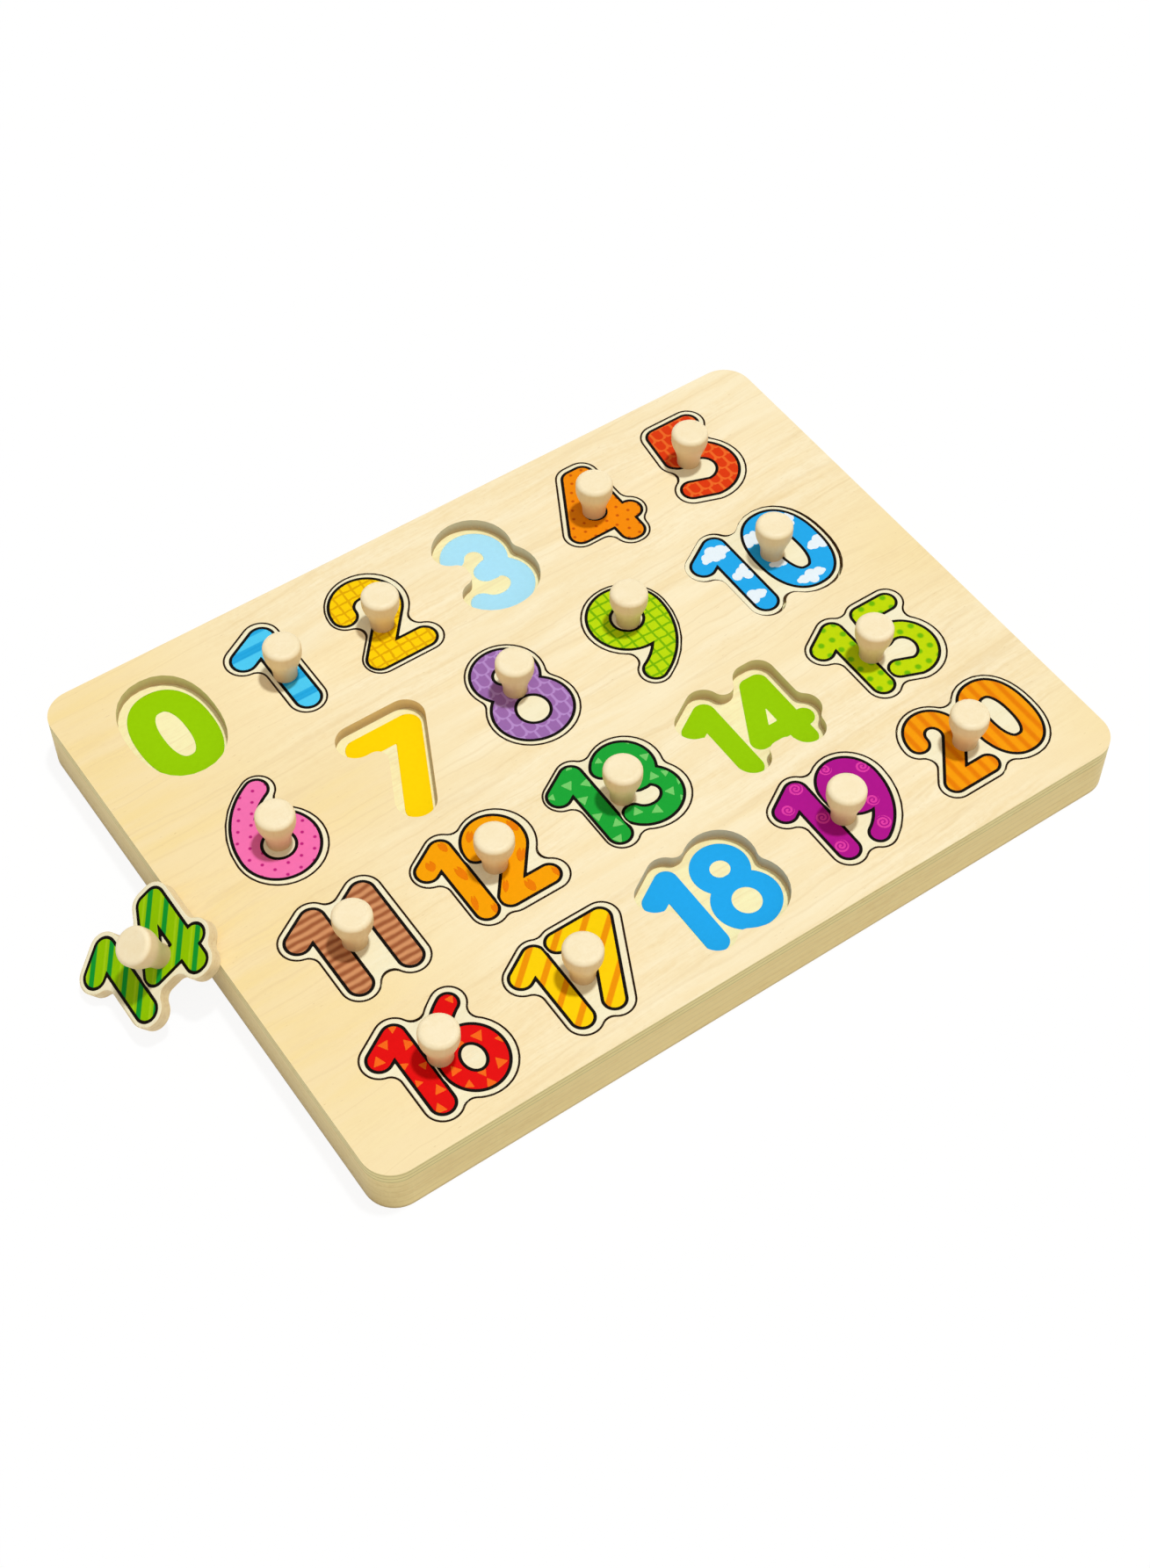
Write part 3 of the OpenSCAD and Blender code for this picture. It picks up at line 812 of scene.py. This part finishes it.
BIRCH = srgb(252, 238, 201)
BIRCH_YELLOW = srgb(245, 219, 152)
BIRCH_BAND = srgb(247, 226, 178)
BIRCH_STREAK = srgb(238, 212, 158)
FLOOR_BIRCH = srgb(251, 246, 193)
FLOOR_BIRCH_BAND = srgb(248, 238, 180)
GROWTH_LINE = srgb(226, 198, 146)
FLECK = srgb(188, 152, 100)
CUT_EDGE = srgb(242, 223, 160)
CUT_EDGE_TOP = srgb(240, 228, 164)
CUT_EDGE_DARK = srgb(230, 206, 146)
PLY_LINE = srgb(178, 162, 100)
# Walls of the empty recesses: their own colour above, painted shade lower down
RECESS_WALL = srgb(231, 210, 169)
RECESS_WALL_SHADE = srgb(199, 173, 132)
# Painted shade of the gap round a seated tile: dark brown near the top, lighter below
GAP_SHADE = srgb(84, 60, 38)
GAP_SHADE_LOW = srgb(172, 134, 86)
# Painted shade on the board's face towards -X
SIDE_SHADE = srgb(196, 174, 122)
# Painted shade at the foot of the board's outer edges, where they meet the floor
BOARD_FOOT_SHADE = srgb(190, 172, 132)
RUBBED_EDGE = srgb(240, 222, 178)
RUBBED_STREAK = srgb(224, 198, 150)
TILE_FACE = (srgb(247, 240, 207), srgb(242, 232, 193), srgb(235, 221, 176))
PEG_TOP = (srgb(251, 236, 199), srgb(247, 229, 186), srgb(241, 219, 171))
# Painted shade on the pegs' sides and towards their foot
PEG_SHADED_BODY = srgb(241, 217, 170)
PEG_STREAK = srgb(229, 199, 148)
PEG_FOOT_SHADE = srgb(204, 168, 118)
WOOD_RELIEF, BOARD_RELIEF, INK_RELIEF = 0.00003, 0.00004, 0.00002

# Heights and distances in millimetres over which one finish or painted shade runs into the next
GAP_SHADE_FADE = (20.9, 19)
WALL_SHADE_FADE = (21, 17.5)
SIDE_SHADE_FADE = (19, 2)
FOOT_SHADE_FADE = (1.6, 0.2)
OUTER_EDGE = (-6, -5)
ROUND_A_RECESS = (4, 3.5)
YELLOW_LEFT = (-40, -150)
LESS_IN_FRONT = (-115, -50)
PEG_SHADE_FADE = 10
PEG_GRAIN_STEP = 7

# Yellower ovals on the top: middle and half sizes in millimetres, and the greatest share
YELLOW_OVALS = (
    (-85, 20, 60, 42, 0.75), (-50, 72, 34, 18, 0.3), (156, 0, 72, 52, 0.62),
    (156, -104, 50, 46, 0.55), (70, -12, 60, 16, 0.25),
)


def by_empty_recess(x, y):
    """1 round the recesses that hold no tile and 0 elsewhere, by boxes round their numbers."""
    away = None
    for number in (*EMPTY_RECESSES, LOOSE_NUMBER):
        left, bottom, width, height = (part / MM for part in number_box(number))
        aside = (x - (left + width / 2)).size() - width / 2
        box = (y - (bottom + height / 2)).size() - height / 2
        away = aside.most(box) if away is None else away.least(aside.most(box))
    return away.ramp(*ROUND_A_RECESS)


def wood_skin(shader, colour, grain, roughness, relief=WOOD_RELIEF):
    """A wood's skin: its streaks are a little rougher, and its grain stands up."""
    skin(shader, colour, grain["Streaks"] * 0.12 + roughness, grain["Height"], relief)


def wood(shader, position, light, band, streak, band_share=0.7, streak_share=0.35, lines=0.0):
    """The colour of a planed face, and its grain."""
    grain = use(shader, GRAIN, position)
    colour = mix(grain["Bands"] * band_share, light, band)
    colour = mix(grain["Streaks"] * streak_share, colour, streak)
    colour = mix(grain["Lines"] * lines, colour, GROWTH_LINE)
    return mix(grain["Flecks"] * 0.5, colour, FLECK), grain


def yellow_patches(x, y):
    """Share of yellower wood: towards the left, less so near the front, and in soft ovals."""
    share = x.ramp(*YELLOW_LEFT) * 0.9 * (y.ramp(*LESS_IN_FRONT) * 0.45 + 0.55)
    for middle_x, middle_y, half_x, half_y, most in YELLOW_OVALS:
        across = (x - middle_x) / half_x
        along = (y - middle_y) / half_y
        share = share.most((across * across + along * along).root().ramp(1, 0.1) * most)
    return share


def board_finish(name, top_light, top_band, edge, yellow, ply_share, ply_spacing, ply_start):
    """Planed birch on the flat faces, yellower in places; plies on the outer edges, with
    painted shade on the face towards -X, darker low down, and at the foot of every edge; recess
    walls with painted shade, dark brown in the gap round a seated tile, darker low in an empty
    one."""
    material, shader, position = new_finish(name, 0.15)
    x, y, z = apart(position)
    light = mix(yellow_patches(x, y) * yellow, top_light, BIRCH_YELLOW)
    top, grain = wood(shader, position, light, top_band, BIRCH_STREAK, lines=0.22)
    side = mix(grain["Streaks"] * 0.5, edge, CUT_EDGE_DARK)
    ply = masked(shader, PLIES, position, Spacing=ply_spacing, Start=ply_start)
    side = mix(ply * ply_share, side, PLY_LINE)
    # Painted shade on the face towards -X, darker low down, and at the foot of every edge
    side = mix(facing(shader, (-1, 0, 0)) * z.ramp(*SIDE_SHADE_FADE) * 0.45, side, SIDE_SHADE)
    side = mix(z.ramp(*FOOT_SHADE_FADE) * 0.5, side, BOARD_FOOT_SHADE)
    # Recess walls with painted shade: the gap round a seated tile, and low in an empty recess
    cut = mix(z.ramp(*GAP_SHADE_FADE), GAP_SHADE, GAP_SHADE_LOW)
    bare = mix(z.ramp(*WALL_SHADE_FADE), RECESS_WALL, RECESS_WALL_SHADE)
    wall = mix(by_empty_recess(x, y), cut, bare)
    from_rim = (x.size() - BOARD_LENGTH / 2 / MM).most(y.size() - BOARD_WIDTH / 2 / MM)
    side = mix(from_rim.ramp(*OUTER_EDGE), wall, side)
    flat = facing(shader, (0, 0, 1)).size().ramp(0.4, 0.8)
    wood_skin(shader, mix(flat, side, top), grain, 0.46, BOARD_RELIEF)
    return material


def tile_finish(number):
    """Wood of a tile below its printed face: a pale underside, and painted shade on the cut
    edges and on the thin rim of the top, dark brown near the top for the gap round a seated
    tile; the tile that lies loose has rubbed pale edges."""
    material, shader, position = new_finish(f"tile_wood_{number}", 0.2, number)
    grain = use(shader, GRAIN, position)
    if number == LOOSE_NUMBER:
        colour = mix(grain["Streaks"] * 0.6, RUBBED_EDGE, RUBBED_STREAK)
    else:
        height = apart(position)[2]
        # Painted shade of the gap round the seated tile, darkest near the top
        colour = mix(height.ramp(*GAP_SHADE_FADE), GAP_SHADE, GAP_SHADE_LOW)
        colour = mix(grain["Streaks"] * 0.25, colour, GAP_SHADE)
        colour = mix(facing(shader, (0, 0, -1)).ramp(0.5, 0.9), colour, BIRCH_BAND)
    wood_skin(shader, colour, grain, 0.42)
    return material


def face_finish(number):
    """The cream ground that is printed over a tile's face, with the grain showing through."""
    material, shader, position = new_finish(f"tile_face_{number}", 0.15, number)
    face, grain = wood(shader, position, *TILE_FACE, 0.6, 0.3)
    wood_skin(shader, face, grain, 0.42)
    return material


def peg_finish(number):
    """Turned birch: grain that runs up the peg, with end grain on the top, and a body with
    painted
    shade: darker than the top on its sides, and darker still towards its foot."""
    material, shader, position = new_finish(f"peg_wood_{number}", 0.25, number)
    x, y, z = apart(position)
    upright = together(z, x + number * PEG_GRAIN_STEP, y)
    end, grain = wood(shader, upright, *PEG_TOP, 0.6, 0.3)
    body = mix(grain["Streaks"] * 0.3, PEG_SHADED_BODY, PEG_STREAK)
    foot = TILE_THICKNESS / MM + (0 if number == LOOSE_NUMBER else SEAT_LEVEL / MM)
    # Painted shade, darker towards the peg's foot
    body = mix(z.ramp(foot + PEG_SHADE_FADE, foot) * 0.7, body, PEG_FOOT_SHADE)
    up = LEAN_UP if number == LOOSE_NUMBER else (0, 0, 1)
    # The top lighter than the sides: end grain, and painted shade on the sides
    face = mix(facing(shader, up).ramp(0.1, 0.75), body, end)
    wood_skin(shader, face, grain, 0.4)
    return material


def print_finish(name, number, colour_of):
    """Printed ink: the colour that colour_of gives, a faint mottle, a satin skin."""
    material, shader, position = new_finish(name, 0.04, number)
    ink = use(shader, INK, position)
    colour = colour_of(shader, position)
    mottled = new_node(shader, "HueSaturation", Value=ink["Mottle"] * 0.05 + 0.97, Color=colour)
    skin(shader, mottled.outputs[0], ink["Mottle"] * 0.14 + 0.36, ink["Height"], INK_RELIEF)
    return material


def plain(red, green, blue):
    """One ink; the finish itself adds the mottle."""
    return lambda shader, position: srgb(red, green, blue)


def patterned(group, ground, figure, **values):
    """Two inks: the figure's where the effect's mask is, the ground's elsewhere."""

    def colour_of(shader, position):
        """The two inks' colour."""
        mask = masked(shader, group, position, **values)
        return mix(mask, srgb(*ground), srgb(*figure))

    return colour_of


def sky_bands(shader, position):
    """Two blues in level bands of uneven height, at measured heights."""
    _, y, _ = apart(position)
    mask = None
    for middle, half in ((98.8, 1.1), (92, 1.8), (73.4, 2.2), (64.7, 1.6)):
        band = (y - middle).size().ramp(half + 0.35, half - 0.35)
        mask = band if mask is None else mask.most(band)
    waves = masked(
        shader, STRIPES, position, Spacing=1.7, Start=0.6, Share=0.4, Softness=0.2, Waver=0.6
    )
    blue = mix(waves * 0.35, srgb(38, 171, 228), srgb(20, 150, 214))
    return mix(mask, srgb(78, 204, 246), blue)


def grass_stripes(shader, position):
    """Dark green stripes, each with a thin lighter stripe beside it."""
    lie = {"Angle": math.radians(48), "Spacing": 6.6}
    wide = masked(shader, STRIPES, position, **lie, Start=1.0, Share=0.3, Softness=0.03)
    thin = masked(shader, STRIPES, position, **lie, Start=3.2, Share=0.12, Softness=0.04)
    ground = mix(thin * 0.6, srgb(146, 198, 0), srgb(176, 214, 30))
    return mix(wide, ground, srgb(18, 152, 48))


# Where the second digit of the lime print starts, in millimetres along X
LIME_SECOND_DIGIT = 104


def lime_dots(shader, position):
    """Soft green dots, in columns that start anew at the second digit."""
    first, second = (
        masked(
            shader, DOTS, position, Spacing=4.85, Row_Height=5.35, Start_X=start,
            Start_Y=-20.3, Radius=1.15, Soft=0.5,
        )
        for start in (90.6, 107.9)
    )
    mask = first + (second - first) * apart(position)[0].over(LIME_SECOND_DIGIT)
    return mix(mask, srgb(193, 219, 4), srgb(112, 186, 2))


PRINTS = {
    1: sky_bands,
    2: patterned(
        CHECK, (254, 209, 4), (226, 170, 2), Spacing=4.0, Start_X=-39.8,
        Start_Y=64.4, Line=0.55, Waver=1.2,
    ),
    4: patterned(
        DOTS, (244, 140, 6), (200, 88, 4), Spacing=4.75, Row_Height=3.77,
        Start_X=48.4, Start_Y=71.6, Shift=2.0, Radius=0.6, Soft=0.3,
    ),
    5: patterned(
        SCALES, (222, 59, 15), (238, 106, 38), Width=4.55, Height=5.0,
        Start_X=101.2, Start_Y=63.5, Line=0.75,
    ),
    6: patterned(
        DOTS, (245, 114, 177), (190, 30, 122), Spacing=5.06, Row_Height=4.02,
        Start_X=-106.6, Start_Y=6.35, Shift=2.53, Radius=0.6, Soft=0.25,
    ),
    8: patterned(
        SCALES, (156, 107, 173), (184, 141, 204), Width=4.6, Height=5.1,
        Start_X=-18.5, Start_Y=0.5, Line=0.65,
    ),
    9: patterned(
        CHECK, (189, 221, 10), (122, 182, 2), Spacing=4.15, Start_X=37.0,
        Start_Y=2.4, Line=0.55, Waver=1.0,
    ),
    10: plain(36, 170, 238),
    11: patterned(
        STRIPES, (213, 148, 100), (160, 92, 54), Spacing=3.07, Start=-41.0,
        Share=0.5, Softness=0.2, Waver=1.4,
    ),
    12: plain(247, 162, 0),
    13: plain(27, 165, 54),
    14: grass_stripes,
    15: lime_dots,
    16: plain(229, 13, 13),
    17: patterned(
        STRIPES, (252, 210, 2), (239, 149, 0), Angle=math.radians(41),
        Spacing=7.4, Start=-7.9, Share=0.28, Softness=0.035,
    ),
    19: plain(177, 19, 142),
    20: patterned(
        STRIPES, (248, 158, 6), (233, 128, 0), Angle=math.radians(-90),
        Spacing=4.5, Start=94.4, Share=0.42, Softness=0.14, Waver=0.4,
    ),
}

# Inks on the recess floors of the numbers 0 to 20
FLOOR_COLOURS = (
    (151, 205, 0), (86, 205, 248), (255, 211, 16), (172, 229, 251), (250, 144, 14),
    (233, 62, 22), (252, 118, 182), (255, 215, 0), (162, 108, 178), (192, 222, 18),
    (36, 170, 238), (200, 132, 88), (252, 166, 8), (28, 166, 56), (151, 205, 0),
    (198, 222, 12), (236, 20, 20), (254, 214, 12), (33, 170, 241), (182, 24, 144),
    (250, 160, 14),
)
OUTLINE_INK = (15, 9, 5)


# Making

def dress(node, material):
    """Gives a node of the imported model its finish."""
    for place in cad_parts[node].material_slots:
        place.material = material


def make_slab(label, number, shape, heights, placed, body, finish):
    """A slab between two heights, cut from a grid and its depths, that rides on a body."""
    piece = slab(f"{label}_{number}", *cut_out(*shape), *heights, placed)
    piece.data.materials.append(finish)
    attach(piece, body)


def make_floor_print(number, xs, ys, depth):
    """The number on the floor of its recess."""
    shift_x, shift_y = FLOOR_PRINT_SHIFTS.get(number, (0, 0))
    make_slab(
        "floor_print", number, (xs + shift_x, ys + shift_y, depth - FLOOR_PRINT_START),
        (-PRINT_SINK, OUTLINE_RISE), raised(BASE_THICKNESS), "board",
        print_finish(f"floor_ink_{number}", None, plain(*FLOOR_COLOURS[number])),
    )


def make_on_tile(label, number, shape, heights, finish):
    """A slab that belongs to a tile."""
    make_slab(
        label, number, shape, heights, placing(number), f"number_{number}",
        finish,
    )


def make_print(label, number, shape, rise, finish):
    """A printed layer: a slab from below a tile's top to a little above it."""
    make_on_tile(
        label, number, shape, (TILE_THICKNESS - PRINT_SINK, TILE_THICKNESS + rise), finish
    )


def plug_depth(number, xs, ys):
    """How far inside the plug of a tile's bowl each point of a grid lies."""
    shift, border = cut_of(number)
    hole = (SIX_BOWL_RADIUS - HALF_SHARES[number]) * number_box(number)[3] - border
    return depth_in_bowl(number, grid_points(xs, ys) - shift, hole + PLUG_OVERLAP)


def outline_depth(depths):
    """The black outline's depth: the number's, widened, and parted between two digits."""
    depth = depths.max(0) - OUTLINE_START
    if len(depths) == 2:
        from_middle = np.abs(depths[0] - depths[1]) / 2
        depth = np.minimum(depth, from_middle - DIGIT_GAP / 2)
    return depth


def colour_depth(number, xs, ys, depth):
    """The coloured print's depth, leaving out the four's ring of painted shade round its peg's
    foot.
    """
    depth = depth - COLOUR_START
    if number == FOOT_SHADED_NUMBER:
        left, bottom, _, height = number_box(number)
        away = grid_points(xs, ys) - (left, bottom) - np.array(FOUR_FOOT_SHADE) * height
        depth = np.minimum(depth, np.hypot(*away.T) - FOUR_FOOT_SHADE_RADIUS * height)
    return depth


def make_tile(number, xs, ys, depths):
    """Finishes of a tile and its peg, the wood that is added to it and its printed layers."""
    timber = tile_finish(number)
    dress(f"tile_{number}", timber)
    dress(f"peg_{number}", peg_finish(number))
    wide = grid_over(number, PRINT_STEP, FACE_MARGIN)
    face = (*wide, depth_in_tile(number, *wide) - FACE_START)
    if number == NARROW_NUMBER:
        make_on_tile("wood", number, face, ADDED_WOOD, timber)
    if number in PLUGGED_NUMBERS:
        make_on_tile("plug", number, (xs, ys, plug_depth(number, xs, ys)), ADDED_WOOD, timber)
    make_print("face", number, face, FACE_RISE, face_finish(number))
    ink = print_finish(f"outline_ink_{number}", number, plain(*OUTLINE_INK))
    make_print("outline", number, (xs, ys, outline_depth(depths)), OUTLINE_RISE, ink)
    ink = print_finish(f"print_ink_{number}", number, PRINTS[number])
    coloured_part = colour_depth(number, xs, ys, depths.max(0))
    make_print("print", number, (xs, ys, coloured_part), COLOUR_RISE, ink)
    if number in MOTIFS:
        label, inside, spots, colour = MOTIFS[number]
        fine = grid_over(number, MOTIF_STEP)
        depth = depth_in_print(number, *fine).max(0) - COLOUR_START
        depth = np.minimum(depth, inside(grid_points(*fine), spots))
        ink = print_finish(f"{label}_ink_{number}", number, plain(*colour))
        make_print(label, number, (*fine, depth), MOTIF_RISE, ink)


dress("base_board", board_finish(
    "backing_birch", FLOOR_BIRCH, FLOOR_BIRCH_BAND, CUT_EDGE, 0.1, 0.12, 3.3, 0.6
))
dress("frame_board", board_finish(
    "panel_birch", BIRCH, BIRCH_BAND, CUT_EDGE_TOP, 1.0, 0.6, 1.9, 16.9
))
for number in ALL_NUMBERS:
    xs, ys = grid_over(number, PRINT_STEP if number < 10 else PAIR_STEP)
    depths = depth_in_print(number, xs, ys)
    make_floor_print(number, xs, ys, depths.max(0))
    if number not in EMPTY_RECESSES:
        make_tile(number, xs, ys, depths)


# Stage, light and camera

WHITE = (1, 1, 1, 1)
FLOOR_REACH = 4.0
FLOOR_COLOUR = (0.8, 0.79, 0.76, 1)
FLOOR_GLOW = 0.9
SKY_COLOUR = (1.0, 0.9, 0.82, 1)
SKY_STRENGTH = 0.38
# Heading from +X, elevation and the angle it fills, in degrees, then strength and colour
LAMPS = {
    "key": (0, 78, 5, 2.0, (0.9, 0.955, 1.0)),
    "fill": (-115, 28, 90, 0.5, (1.0, 0.93, 0.86)),
}
CAMERA_PLACE = Vector((-0.29949, -0.43263, 0.69507))
CAMERA_TARGET = Vector((-0.0153, -0.0208, 0.0215))
CAMERA_LENS = 56.95
SENSOR_WIDTH = 36


def ray_is_seen(near):
    """1 for camera, mirror and see-through rays, and 0 for the light's other bounces."""
    path = new_node(near, "LightPath")
    camera = Value(path.outputs["Is Camera Ray"])
    glossy = Value(path.outputs["Is Glossy Ray"])
    through = Value(path.outputs["Is Transmission Ray"])
    return camera.most(glossy).most(through)


def between(share, first, second):
    """A shader between two shaders."""
    node = new_node(first, "MixShader", Fac=share)
    connect(first.outputs[0], node.inputs[1])
    connect(second.outputs[0], node.inputs[2])
    return node


def make_floor():
    """A large pale sheet: white to the camera, less the object's soft shadow."""
    mesh = bpy.data.meshes.new("floor")
    square = ((-1, -1), (1, -1), (1, 1), (-1, 1))
    corners = [(FLOOR_REACH * x, FLOOR_REACH * y, 0) for x, y in square]
    mesh.from_pydata(corners, [], [(0, 1, 2, 3)])
    floor = new_object("floor", mesh)
    material = bpy.data.materials.new("pale_floor")
    material.use_nodes = True
    nodes = material.node_tree.nodes
    nodes.remove(nodes["Principled BSDF"])
    out = nodes["Material Output"]
    matt = new_node(out, "BsdfDiffuse", Color=FLOOR_COLOUR)
    bright = new_node(out, "BsdfDiffuse", Color=WHITE)
    glow = new_node(out, "Emission", Color=WHITE)
    seen = between(ray_is_seen(out), matt, between(FLOOR_GLOW, bright, glow))
    connect(seen.outputs[0], out.inputs["Surface"])
    floor.data.materials.append(material)


def make_sky():
    """Even light from all round, with a white background where it is seen."""
    world = bpy.data.worlds.new("studio")
    world.use_nodes = True
    bpy.context.scene.world = world
    soft = world.node_tree.nodes["Background"]
    connect(SKY_COLOUR, soft.inputs["Color"])
    connect(SKY_STRENGTH, soft.inputs["Strength"])
    white = new_node(soft, "Background", Color=WHITE, Strength=1.0)
    seen = between(ray_is_seen(soft), soft, white)
    connect(seen.outputs[0], world.node_tree.nodes["World Output"].inputs["Surface"])


def make_lamp(name, heading, elevation, spread, strength, colour):
    """A distant lamp that shines from a heading and an elevation."""
    light = bpy.data.lights.new(name, "SUN")
    light.energy = strength
    light.angle = math.radians(spread)
    light.color = colour
    turn, rise = math.radians(heading), math.radians(elevation)
    flat = math.cos(rise)
    place = Vector((flat * math.cos(turn), flat * math.sin(turn), math.sin(rise)))
    new_object(name, light).rotation_euler = place.to_track_quat("Z", "Y").to_euler()


def make_camera():
    """The photograph's camera, solved from the board's edges."""
    data = bpy.data.cameras.new("camera")
    data.lens = CAMERA_LENS
    data.sensor_width = SENSOR_WIDTH
    camera = new_object("camera", data)
    camera.location = CAMERA_PLACE
    camera.rotation_euler = (CAMERA_TARGET - CAMERA_PLACE).to_track_quat("-Z", "Y").to_euler()
    bpy.context.scene.camera = camera


make_floor()
make_sky()
for name, values in LAMPS.items():
    make_lamp(name, *values)
make_camera()
bpy.context.scene.view_settings.view_transform = "Standard"
